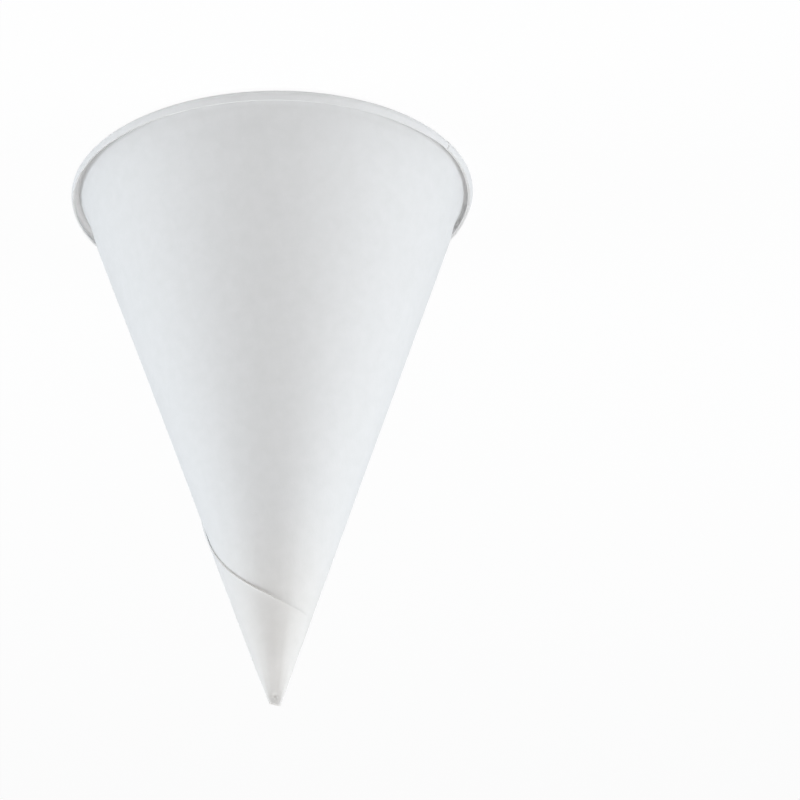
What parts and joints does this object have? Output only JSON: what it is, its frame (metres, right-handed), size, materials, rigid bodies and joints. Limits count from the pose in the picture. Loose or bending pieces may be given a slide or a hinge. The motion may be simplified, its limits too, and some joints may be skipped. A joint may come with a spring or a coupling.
{
  "type": "cone paper cup",
  "caption": "Cone-shaped paper cup wound from one sheet, with a rolled rim and a pinched, closed tip, standing on its mouth.",
  "frame": {"origin": "on the cone's axis, level with the flat under the rolled rim on which the cup stands", "axes": "+Z along the cone's axis from the mouth to the tip; -Y is the side that the picture shows"},
  "size_m": [0.073, 0.073, 0.097],
  "materials": {
    "paper": "white uncoated paper, smooth and matte"
  },
  "bodies": {
    "root": {"cone_cup": "paper"}
  },
  "joints": []
}
